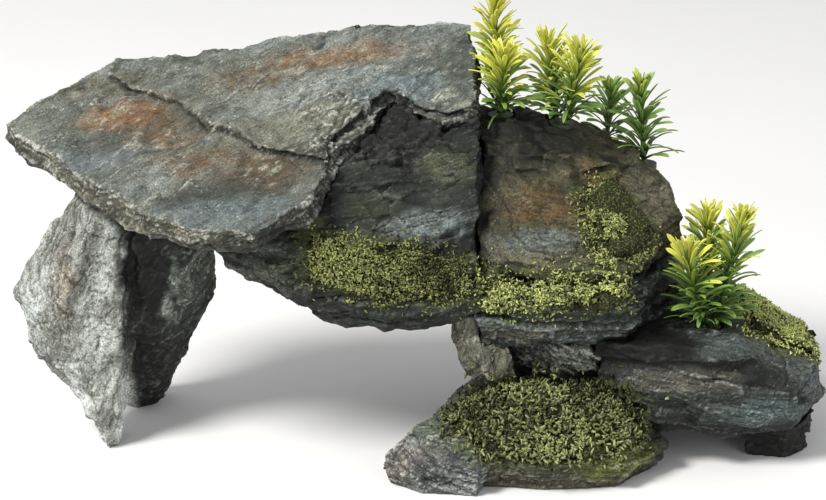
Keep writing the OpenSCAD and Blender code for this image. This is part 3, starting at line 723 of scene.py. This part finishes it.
def paint_slab(node, points, normals, local, relief, seed):
    rows = base_coat(local, seed, (srgb(21, 24, 22), srgb(47, 51, 48), srgb(79, 84, 80)), 12, 0.12)
    rows = patched(rows, node, points, seed, (
        (0.35, 0.03, 0.58, (28, 14, 5), srgb(98, 94, 80), 0.85),
        (0.7, 0.05, 0.25, (26, 14, 7), TEAL, 0.85),
        (0.95, 0.1, 0.5, (9, 16, 14), srgb(104, 116, 122), 0.85),
        (0.6, 0.06, 0.85, (24, 14, 4), srgb(108, 122, 120), 0.7),
        # near-black patches on the top under the overhang and at the left end under the ledge:
        # painted shade
        (0.20, 0.05, 0.88, (24, 30, 9), srgb(4, 5, 3), 1.6),
        (0.05, 0.1, 0.4, (10, 20, 20), srgb(10, 11, 9), 1.2),
        (0.5, 0.1, 0.02, (50, 60, 7), srgb(8, 8, 8), 1.1),
        (0.95, 0.5, 0.7, (12, 40, 14), srgb(96, 84, 72), 0.7)))
    rows = washed_shaded_and_brushed(rows, points, normals, relief, seed, 0.75, 0.95, srgb(176, 186, 182))
    # painted shadow on the top under the overhang once more, over the dry-brushed light
    return patch(rows, points, at(node, 0.20, 0.05, 0.9), (29, 34, 11), JOINT_AND_SHADE_BLACK * 0.3, 1.2, seed)


def paint_foot(node, points, normals, local, relief, seed):
    rows = base_coat(local, seed, (srgb(8, 9, 8), srgb(14, 15, 14), srgb(26, 27, 25)), 8, 0.4)
    return washed_shaded_and_brushed(rows, points, normals, relief, seed, 0.3, 0.8)


def top_normal(node):
    """The mean direction that a CAD node's upward faces look in."""
    total = Vector((0, 0, 0))
    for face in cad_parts[node].data.polygons:
        if face.normal.z > 0.75:
            total += face.normal * face.area
    return np.array(total.normalized())


ROOF_UP = top_normal("roof_slab")
RIGHT = (1, 0, 0)
LEG_UP = (0.25, -0.9, 0.35)
ROOF_GRAIN = (0.82, 0.57, 0)
TILTED = (0.06, -0.05, 1)
# name; voxel in mm; bedding normal; direction of the streaks; bed, ledge, plate, chip, grain (mm)
# and wobble (a share); painter; the material's streaks, flecks, relief and dark lines; seed
ROCK_LIST = [
    ("roof_slab", 0.85, ROOF_UP, ROOF_GRAIN, 3.2, 0.9, 0.40, 0.28, 0.18, 1.8, paint_roof,
     0.4, 0.5, 0.30, 0.25, 11),
    ("left_leg", 0.8, LEG_UP, (0.35, 0.1, 0.9), 5.0, 0.6, 0.6, 0.6, 0.5, 1.3, paint_leg,
     0.35, 0.6, 0.45, 0.7, 23),
    ("bridge_block", 0.8, (-0.16, -0.3, 0.94), RIGHT, 7.5, 1.4, 0.9, 0.5, 0.28, 1.4,
     paint_bridge, 0.45, 0.45, 0.40, 0.8, 37),
    ("shoulder_boulder", 0.8, (0.22, -0.45, 0.86), RIGHT, 8.0, 1.3, 0.9, 0.4, 0.3, 1.7,
     paint_shoulder, 0.45, 0.4, 0.40, 0.8, 41),
    ("shoulder_ledge", 0.75, TILTED, RIGHT, 6.0, 1.5, 0.7, 0.6, 0.28, 1.4, paint_ledge,
     0.45, 0.45, 0.40, 0.9, 53),
    ("pillar_rock", 0.7, (0.55, -0.2, 0.8), (0.8, 0, 0.6), 2.6, 1.2, 0.7, 1.2, 0.5, 1.2,
     paint_pillar, 0.4, 0.7, 0.45, 0.9, 67),
    ("pillar_flake", 0.7, (0.3, -0.9, 0.1), (0.2, 0, 0.98), 3.0, 0.6, 0.4, 0.5, 0.3, 0.8,
     paint_flake, 0.4, 0.5, 0.4, 0.7, 71),
    ("base_rock", 0.8, TILTED, RIGHT, 3.4, 0.8, 0.4, 0.6, 0.3, 1.2, paint_base,
     0.35, 0.45, 0.35, 0.7, 83),
    ("toe_rock", 0.65, (0.25, -0.3, 0.9), (0.9, 0.1, 0.3), 3.4, 1.0, 0.5, 0.8, 0.25, 1.0,
     paint_toe, 0.45, 0.55, 0.35, 0.7, 97),
    ("right_slab", 0.75, (0.18, -0.35, 1), RIGHT, 9.0, 1.0, 0.9, 0.4, 0.24, 1.6, paint_slab,
     0.5, 0.4, 0.40, 0.9, 103),
    ("right_foot", 0.9, TILTED, RIGHT, 4.0, 0.6, 0.3, 0.6, 0.3, 1.0, paint_foot,
     0.3, 0.2, 0.35, 0.5, 113),
]
rocks = {}
for (name, voxel, up, along, bed, ledge, plate, chip, grain, wobble, painter, streak, fleck,
     bumps, lines, seed) in ROCK_LIST:
    material = stone_material(f"{name}_stone", along, up, streak, fleck, bumps, lines)
    rocks[name] = rock(name, voxel * MM, up, along, bed, ledge, plate, chip, grain, wobble,
                       painter, material, seed)


# ---------------------------------------------------------------- moss

MOSS_BODY_TINT = srgb(34, 38, 18)
CURL_RINGS, CURL_SIDES = 3, 4
bare_rocks = tree_of(ROCKS)


def rock_tree():
    """A search tree over the finished rocks, for setting moss on them."""
    points, faces = [], []
    for piece in rocks.values():
        p, _, _ = read(piece.data)
        first = len(points)
        points += [Vector(v) for v in p]
        loops = np.empty(len(piece.data.loops), np.int32)
        piece.data.loops.foreach_get("vertex_index", loops)
        starts = np.empty(len(piece.data.polygons), np.int32)
        piece.data.polygons.foreach_get("loop_start", starts)
        totals = np.empty(len(piece.data.polygons), np.int32)
        piece.data.polygons.foreach_get("loop_total", totals)
        faces += [(loops[s:s + t] + first).tolist() for s, t in zip(starts, totals)]
    return BVHTree.FromPolygons(points, faces)


def surface_points(mesh, count, rng):
    """Points spread evenly over a mesh, with the faces' normals."""
    mesh.calc_loop_triangles()
    corners = np.array([[mesh.vertices[i].co[:] for i in t.vertices]
                        for t in mesh.loop_triangles])
    a, b, c = corners[:, 0], corners[:, 1], corners[:, 2]
    cross = np.cross(b - a, c - a)
    area = np.linalg.norm(cross, axis=1)
    pick = rng.choice(len(area), count, p=area / area.sum())
    u, v = np.sqrt(rng.random(count)), rng.random(count)
    points = ((1 - u)[:, None] * a[pick] + (u * (1 - v))[:, None] * b[pick]
              + (u * v)[:, None] * c[pick])
    return points, cross[pick] / area[pick][:, None]


def curls(places, normals, rng, thick, length):
    """Small bent tubes that stand on places: vertices, faces and how far up each vertex is."""
    n = len(places)
    lean = rng.normal(size=(n, 3)) * 0.75
    way = normals + lean
    way /= np.linalg.norm(way, axis=1)[:, None]
    other = np.cross(way, rng.normal(size=(n, 3)))
    other /= np.linalg.norm(other, axis=1)[:, None]
    third = np.cross(way, other)
    long = length * rng.uniform(0.6, 1.35, n)
    wide = thick * rng.uniform(0.7, 1.3, n)
    bend = rng.uniform(0.6, 2.4, n)
    rows, share = [], []
    for ring in range(CURL_RINGS):
        t = ring / (CURL_RINGS - 1)
        angle = bend * t
        middle = places + (np.sin(angle) / bend * long)[:, None] * way
        middle += ((1 - np.cos(angle)) / bend * long)[:, None] * other
        outward = np.cos(angle)[:, None] * other - np.sin(angle)[:, None] * way
        radius = wide * (0.55 + 0.75 * math.sin(math.pi * min(1, t + 0.18)) ** 0.8)
        for s in range(CURL_SIDES):
            a = 2 * math.pi * s / CURL_SIDES
            rows.append(middle + (radius * math.cos(a))[:, None] * outward
                        + (radius * math.sin(a))[:, None] * third)
            share.append(np.full(n, t))
    tip_angle = bend * 1.12
    rows.append(places + (np.sin(tip_angle) / bend * long)[:, None] * way
                + ((1 - np.cos(tip_angle)) / bend * long)[:, None] * other)
    share.append(np.ones(n))
    rows.append(places - way * wide[:, None])
    share.append(np.zeros(n))
    each = CURL_RINGS * CURL_SIDES + 2
    vertices = np.stack(rows, 1).reshape(-1, 3)
    up = np.stack(share, 1).ravel()
    faces = []
    for ring in range(CURL_RINGS - 1):
        for s in range(CURL_SIDES):
            a, b = ring * CURL_SIDES + s, ring * CURL_SIDES + (s + 1) % CURL_SIDES
            faces += [(a, b, b + CURL_SIDES), (a, b + CURL_SIDES, a + CURL_SIDES)]
    last = (CURL_RINGS - 1) * CURL_SIDES
    for s in range(CURL_SIDES):
        faces.append((last + s, last + (s + 1) % CURL_SIDES, each - 2))
        faces.append(((s + 1) % CURL_SIDES, s, each - 1))
    faces = (np.array(faces)[None] + (np.arange(n) * each)[:, None, None]).reshape(-1, 3)
    return vertices, faces, up


def rim_of(node, rng):
    """A search tree over the rim of a moss pad, where its top comes down to the rock."""
    places, _ = surface_points(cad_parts[node].data, 5000, rng)
    heights = np.array([bare_rocks.find_nearest(Vector(p))[3] for p in places])
    rim = places[(heights > 0.1 * MM) & (heights < 0.55 * heights.max())]
    found = KDTree(len(rim))
    for i, p in enumerate(rim):
        found.insert(Vector(p), i)
    found.balance()
    return found


def moss(node, count, dark, bright, seed, thick=0.3, length=1.5, spread=3.5, fringe=3.0,
         patches=(), band=None):
    """Curls of flock on a bed that follows the CAD node, ragged and thinning out at its rim.
    A band is two ends and a half width in mm, which the flock keeps to, seen from the front."""
    rng = np.random.default_rng(seed)
    rim = rim_of(node, rng)

    def inside(places):
        """How far places are from the pad's rim, or its band's, in mm, made ragged."""
        far = np.array([rim.find(Vector(p))[2] for p in places]) / MM
        if band:
            start, end, half = band
            way, off = (end - start)[[0, 2]], (places - start)[:, [0, 2]]
            share = np.clip(off @ way / (way @ way), 0, 1)
            far = np.minimum(far, half - np.linalg.norm(off - share[:, None] * way, axis=1) / MM)
        return far + 1.6 * fringe * layered(places, 9 * MM, seed + 17, 4, 0.6)

    mesh = remeshed(node, 0.8 * MM)
    points, normals, edges = read(mesh)
    push = 0.6 * layered(points, 4 * MM, seed, 3, 0.7) - 0.3
    points += normals * (push * MM)[:, None]
    far = inside(points)
    sunk = 1.6 * smooth(fringe, 0.3 * fringe, far) + 2.4 * smooth(0, -2, far)
    points -= normals * (sunk * MM)[:, None]
    quads = np.array([p.vertices[:] for p in mesh.polygons])
    triangles = np.concatenate([quads[:, :3], quads[:, [0, 2, 3]]])
    bed_rows = (np.tile(MOSS_BODY_TINT, (len(points), 1))
                * (1 + 0.9 * layered(points, 2.4 * MM, seed, 3, 0.8))[:, None])

    places, facing = surface_points(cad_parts[node].data, count, rng)
    strays = rng.random(count) < 0.3
    shift = rng.normal(size=places.shape) * spread * MM * strays[:, None]
    wanted = places + shift
    depth = inside(places)
    kept, normal_rows = [], []
    for p, f, moved, deep in zip(wanted, facing, strays, depth):
        found, n, _, _ = on_rocks.find_nearest(Vector(p))
        above = (Vector(p) - found).dot(n)
        if moved and n.z > -0.35 and deep > -0.5 * fringe:
            kept.append(found[:])
            normal_rows.append(n[:])
        elif not moved and above > -0.2 * MM and Vector(f).dot(n) > -0.2 and deep > 0.4 * fringe:
            kept.append(p)
            normal_rows.append(f)
    kept, normal_rows = np.array(kept), np.array(normal_rows)
    clump = layered(kept, 6 * MM, seed + 7, 3)
    held = rng.random(len(kept)) < smooth(-0.5, 0.1, clump) + 0.5
    kept, normal_rows, clump = kept[held], normal_rows[held], clump[held]
    vertices, faces, up = curls(kept, normal_rows, rng, thick * MM, length * MM)
    tone = np.clip(rng.beta(1.1, 1.9, len(kept)) + 0.6 * clump, 0, 1)
    for centre, reach, change in patches:
        near = np.linalg.norm((kept - centre) / (np.array(reach) * MM), axis=1)
        tone = np.clip(tone + change * smooth(1.1, 0.4, near), 0, 1)
    tint = mix(np.tile(dark, (len(kept), 1)), bright, tone)
    each = len(vertices) // len(kept)
    rows = np.repeat(tint, each, axis=0)
    # curls darker towards their roots: painted shade among the flock
    rows = mix(rows * 0.08, rows * 1.2, smooth(0.0, 0.9, up))
    piece = new_piece(f"{node}_flock", np.concatenate([points, vertices]),
                      np.concatenate([triangles, faces + len(points)]), moss_flock)
    colour(piece, np.concatenate([bed_rows, rows]))
    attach(piece, ROCK_BODY)
    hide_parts(node)


on_rocks = rock_tree()
moss_flock = moss_material()
YELLOW_GREEN = srgb(176, 182, 112)
OLD = srgb(50, 58, 38)
moss("moss_bridge", 8200, OLD * 0.7, YELLOW_GREEN * 0.9, 3,
     patches=[(at("moss_bridge", 0.12, 0.5, 0.5), (16, 12, 9), 0.25),
              (at("moss_bridge", 0.8, 0.5, 0.4), (16, 12, 12), -0.3)])
moss("moss_ledge", 8200, OLD * 1.8, YELLOW_GREEN * 1.9, 5)
moss("moss_ridge", 8200, OLD * 1.4, YELLOW_GREEN * 1.5, 7,
     band=(at("moss_ridge", 0.0, 0.5, 0.72), at("moss_ridge", 0.72, 0.5, 0.0), 6.0))
moss("moss_base", 7600, OLD * 0.5, YELLOW_GREEN * (0.95, 0.96, 1.15), 9, thick=0.42, length=2.3,
     patches=[(at("moss_base", 0.7, 0.1, 0.1), (30, 10, 6), 0.45),
              (at("moss_base", 0.85, 0.8, 0.8), (22, 18, 12), -0.45),
              (at("moss_base", 0.1, 0.6, 0.8), (14, 14, 12), -0.3)])
moss("moss_slope", 6500, OLD * 2.0, YELLOW_GREEN * 2.0, 13,
     patches=[(at("moss_slope", 0.4, 0.4, 0.6), (30, 26, 14), 0.25)])


# ---------------------------------------------------------------- plants

LEAF_STEPS = 11
PULL = 12 * MM
YELLOW = srgb(226, 224, 96)
LIME = srgb(172, 194, 72)
GREEN = srgb(132, 164, 78)
DEEP = srgb(66, 94, 50)
leaf_plastic = leaf_material()


def leaf(foot, turn, rise, droop, length, width, roll, keel):
    """One leaf with a rounded tip: rows of six points round a folded blade, from stem to tip."""
    outward = np.array([math.cos(turn), math.sin(turn), 0.0])
    sideways = np.array([-math.sin(turn), math.cos(turn), 0.0])
    place, rows = np.array(foot), []
    step = length / (LEAF_STEPS - 1)
    for i in range(LEAF_STEPS):
        t = i / (LEAF_STEPS - 1)
        slope = rise - droop * t ** 1.3
        ahead = math.cos(slope) * outward + math.sin(slope) * np.array([0, 0, 1.0])
        upward = -math.sin(slope) * outward + math.cos(slope) * np.array([0, 0, 1.0])
        twist = roll * (0.5 + t)
        side = math.cos(twist) * sideways + math.sin(twist) * upward
        upper = math.cos(twist) * upward - math.sin(twist) * sideways
        half = width / 2 * (0.5 + 0.5 * math.sin(math.pi * min(0.62, t * 0.75)))
        half *= math.sqrt(max(0.03, 1 - max(0.0, (t - 0.8) / 0.2) ** 2))
        thick = 0.3 * MM * (1 - 0.4 * t)
        fold = keel * half
        for a, h in ((-1, fold), (-0.5, fold * 0.6 + thick * 0.6), (0, thick * 0.3),
                     (0.5, fold * 0.6 + thick * 0.6), (1, fold), (0, -thick)):
            rows.append(place + side * half * a + upper * h)
        place = place + ahead * step
    return rows


def leaf_faces():
    faces = []
    for i in range(LEAF_STEPS - 1):
        for k in range(6):
            a, b = i * 6 + k, i * 6 + (k + 1) % 6
            faces += [(a, b, b + 6), (a, b + 6, a + 6)]
    last = (LEAF_STEPS - 1) * 6
    for k in range(1, 5):
        faces.append((0, k + 1, k))
        faces.append((last, last + k, last + k + 1))
    return np.array(faces)


LEAF_FACES = leaf_faces()


def clear_of_rocks(blade):
    """Whether a leaf's middle line, from a little way out, stays outside every rock, at rest
    and while its plant is pulled."""
    line = [Vector(blade[6 * i]) for i in range(2, LEAF_STEPS)]
    for lift in (0, PULL / 3, 2 * PULL / 3, PULL):
        raised = [p + Vector((0, 0, lift)) for p in line]
        for start, end in zip(raised, raised[1:]):
            way = end - start
            if on_rocks.ray_cast(start, way, way.length + 0.6 * MM)[0] is not None:
                return False
    return True


def stem_axes(node):
    """The foot and tip of each stem of a CAD node, from the ends of its separate rods."""
    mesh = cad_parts[node].data
    points, _, edges = read(mesh)
    # glTF splits vertices at hard edges, so points in one place count as one
    key = np.unique(np.round(points * 1e6).astype(np.int64), axis=0, return_inverse=True)[1].ravel()
    parent = list(range(key.max() + 1))

    def root(i):
        while parent[i] != i:
            parent[i] = parent[parent[i]]
            i = parent[i]
        return i

    for a, b in edges:
        parent[root(key[a])] = root(key[b])
    group = np.array([root(k) for k in key])
    found = []
    for g in np.unique(group):
        p = points[group == g]
        order = np.argsort(p[:, 2])
        half = len(p) // 2
        found.append((p[order[:half]].mean(0), p[order[half:]].mean(0)))
    return sorted(found, key=lambda ends: ends[0][0])


def shoots(letter, spacing, leaves, length, yellow, bright, seed):
    """The leaves of a plant, in whorls up each of its stems. yellow is the share of the height
    where the leaves begin to turn yellow, and bright how far they turn."""
    rng = np.random.default_rng(seed)
    rows, tints, crown_rows, crown_tints = [], [], [], []
    for foot, tip in stem_axes(f"stems_{letter}"):
        axis = tip - foot
        height = np.linalg.norm(axis)
        axis = axis / height
        first = 3.0 * MM / height
        count = max(2, int(round(height * (1 - first) / spacing)) + 1)
        for level in range(count):
            share = level / (count - 1)
            top = level >= count - 1
            place = foot + axis * height * (first + (0.93 - first) * share)
            number = leaves - (2 if top else 0)
            start = level * 0.9 + rng.uniform(0, 0.4)
            for k in range(number):
                turn = start + 2 * math.pi * k / number + rng.normal(0, 0.13)
                grown = 1 - 0.35 * max(0, share - 0.45) / 0.55
                reach = length * grown * rng.uniform(0.78, 1.16)
                rise = math.radians(38 + 30 * share ** 1.1 + rng.normal(0, 9))
                if top:
                    rise = math.radians(rng.uniform(60, 82))
                    reach *= 0.7
                droop = math.radians(56 - 36 * share + rng.normal(0, 9))
                width = rng.uniform(1.35, 2.05) * MM
                roll, outward = rng.normal(0, 0.5), np.array([math.cos(turn), math.sin(turn), 0])
                for _ in range(8):
                    blade = leaf(place + outward * 0.6 * MM, turn, rise, droop, reach, width,
                                 roll, 0.2)
                    if clear_of_rocks(blade):
                        break
                    rise, droop, reach = rise + 0.2, droop * 0.75, reach * 0.92
                t = np.repeat(np.linspace(0, 1, LEAF_STEPS), 6)
                ripe = smooth(yellow, yellow + 0.5, share + 0.15 * t + rng.normal(0, 0.16))
                base = mix(np.tile(DEEP, (len(t), 1)), GREEN, smooth(-0.1, 0.55, share + 0.35 * t))
                base = mix(base, LIME, ripe * bright)
                base = mix(base, YELLOW, ripe * bright * smooth(0.15, 0.85, t + 0.35 * share))
                base = base * (0.6 + 0.5 * smooth(0.0, 0.5, t))[:, None] * rng.uniform(0.75, 1.2)
                # a darker midrib vein, and a darker underside, which is painted shade
                edge = np.tile([1, 1, 0.72, 1, 1, 0.6], LEAF_STEPS)
                base = base * edge[:, None]
                (crown_rows if top else rows).append(blade)
                (crown_tints if top else tints).append(base)
    for kind, blades, paints, slot in (("leaves", rows, tints, "leaf"),
                                       ("crowns", crown_rows, crown_tints, "crown")):
        vertices = np.array(blades).reshape(-1, 3)
        starts = np.arange(len(blades)) * LEAF_STEPS * 6
        faces = (LEAF_FACES[None] + starts[:, None, None]).reshape(-1, 3)
        piece = new_piece(f"{kind}_{letter}_blades", vertices, faces, leaf_plastic)
        colour(piece, np.concatenate(paints))
        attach(piece, f"plant_{letter}")
        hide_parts(f"{kind}_{letter}")


shoots("a", 3.4 * MM, 9, 13.5 * MM, 0.2, 1.0, 201)
shoots("b", 3.4 * MM, 9, 14.5 * MM, 0.2, 0.85, 203)
shoots("c", 3.8 * MM, 8, 12.5 * MM, 0.9, 0.4, 205)
shoots("d", 3.5 * MM, 9, 13.5 * MM, 0.75, 0.5, 207)
shoots("e", 3.7 * MM, 9, 14.5 * MM, 0.55, 0.95, 209)

stem_plastic = stem_material("stem_plastic", tuple(srgb(78, 104, 42)))
plug_plastic = stem_material("plug_plastic", tuple(srgb(44, 60, 30)))
for letter in PLANTS:
    for kind, material in (("stems", stem_plastic), ("plug", plug_plastic)):
        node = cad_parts[f"{kind}_{letter}"]
        node.data.materials.clear()
        node.data.materials.append(material)


# ---------------------------------------------------------------- studio

def floor():
    """A plain pale floor, with a very faint unevenness in its finish."""
    n = Nodes("pale_floor")
    tone = n.blend(n.ramp(n.noise(3.0), 0.3, 0.7), (0.88, 0.88, 0.88), (0.91, 0.91, 0.91))
    material = n.finish(tone, n.ramp(n.noise(8.0), 0.3, 0.7, 0.75, 0.9),
                        n.bump(n.noise(400.0), 0.02 * MM, 0.2), 0.2)
    half = 6.0  # metres
    corners = np.array([[-half, -half, 0], [half, -half, 0], [half, half, 0], [-half, half, 0]])
    ground = new_piece("floor", corners - (0, 0, 0.05 * MM), [[0, 1, 2, 3]], material, False)


def area_light(name, place, target, size, power, tint=(1, 1, 1)):
    data = bpy.data.lights.new(name, "AREA")
    data.shape = "DISK"
    data.size = size
    data.energy = power
    data.color = tint
    light = bpy.data.objects.new(name, data)
    light.location = place
    light.rotation_mode = "QUATERNION"
    light.rotation_quaternion = (Vector(target) - Vector(place)).to_track_quat("-Z", "Y")
    bpy.context.scene.collection.objects.link(light)


def studio():
    scene = bpy.context.scene
    scene.view_settings.view_transform = "Standard"
    world = bpy.data.worlds.new("studio_air")
    world.use_nodes = True
    world.node_tree.nodes["Background"].inputs["Color"].default_value = (1, 1, 1, 1)
    world.node_tree.nodes["Background"].inputs["Strength"].default_value = 0.55
    scene.world = world
    target = (0, 0, 0.07)
    area_light("key", (-0.8, -0.55, 1.2), target, 0.5, 24.0, (1.0, 0.985, 0.95))
    area_light("fill", (0.9, -1.1, 0.5), target, 0.9, 3.0, (0.95, 0.98, 1.0))


def camera():
    """From straight in front, 20 degrees above level."""
    distance, tilt = 1.0, math.radians(20)
    target = Vector((-0.4, 7.5, 69.5)) * MM
    data = bpy.data.cameras.new("camera")
    data.sensor_width = 36.0
    data.lens = 118.4
    made = bpy.data.objects.new("camera", data)
    made.location = target + distance * Vector((0, -math.cos(tilt), math.sin(tilt)))
    made.rotation_mode = "QUATERNION"
    made.rotation_quaternion = (target - made.location).to_track_quat("-Z", "Y")
    bpy.context.scene.collection.objects.link(made)
    bpy.context.scene.camera = made


floor()
studio()
camera()
